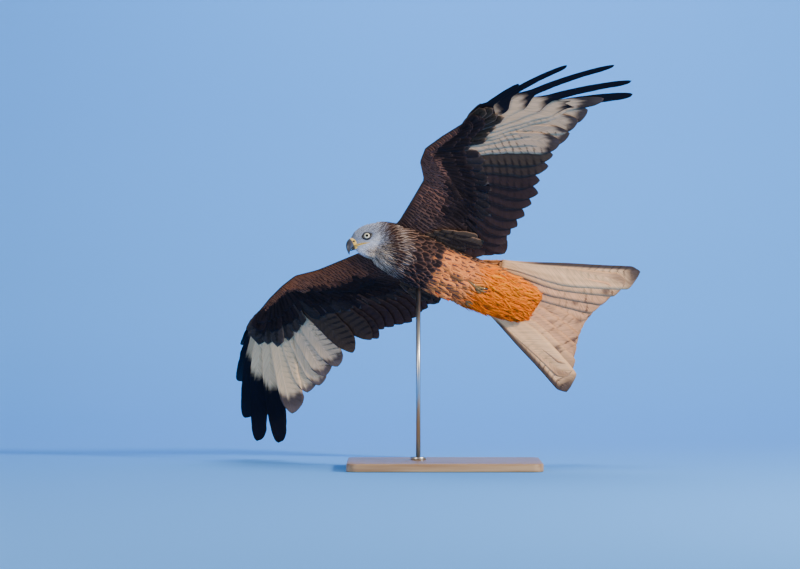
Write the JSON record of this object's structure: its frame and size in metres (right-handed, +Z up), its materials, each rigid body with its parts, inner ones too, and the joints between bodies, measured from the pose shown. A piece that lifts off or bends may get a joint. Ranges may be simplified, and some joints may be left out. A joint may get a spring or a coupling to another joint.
{
  "type": "red kite, mounted flying bird model",
  "caption": "Life-size still model of a red kite banking in flight, with forked tail and fingered wings, held by a rod on a flat wooden stand.",
  "frame": {"origin": "centre of the underside of the stand's base, on the floor", "axes": "+Z up, the bird's bill points towards -X and its tail towards +X, and its left wing rises towards -Y"},
  "size_m": [0.9045, 0.8066, 0.8535],
  "materials": {
    "head_feathers": "matt feathers, pale grey with dark streaks",
    "body_feathers": "matt feathers, rufous brown with dark streaks, orange at the vent",
    "wing_feathers": "matt feathers, rufous coverts, pale primary bases, black fingers",
    "tail_feathers": "matt feathers, pale below and rufous above",
    "leg_feathers": "loose orange feathers, yellow toes, black claws",
    "bare_skin": "waxy yellow skin",
    "horn": "polished dark horn",
    "eye": "glossy, pale iris and black pupil",
    "stand_wood": "satin oiled pale wood",
    "stand_steel": "brushed"
  },
  "bodies": {
    "root": {"head": "head_feathers", "neck": "head_feathers", "torso": "body_feathers", "eye_left": "eye", "eye_right": "eye", "cere": "bare_skin", "bill_upper": "horn", "bill_lower": "horn", "wing_left_arm": "wing_feathers", "wing_left_hand": "wing_feathers", "wing_right_arm": "wing_feathers", "wing_right_hand": "wing_feathers", "tail": "tail_feathers", "leg_left": "leg_feathers", "leg_right": "leg_feathers", "stand_base": "stand_wood", "stand_collar": "stand_steel", "stand_rod": "stand_steel"}
  },
  "joints": []
}
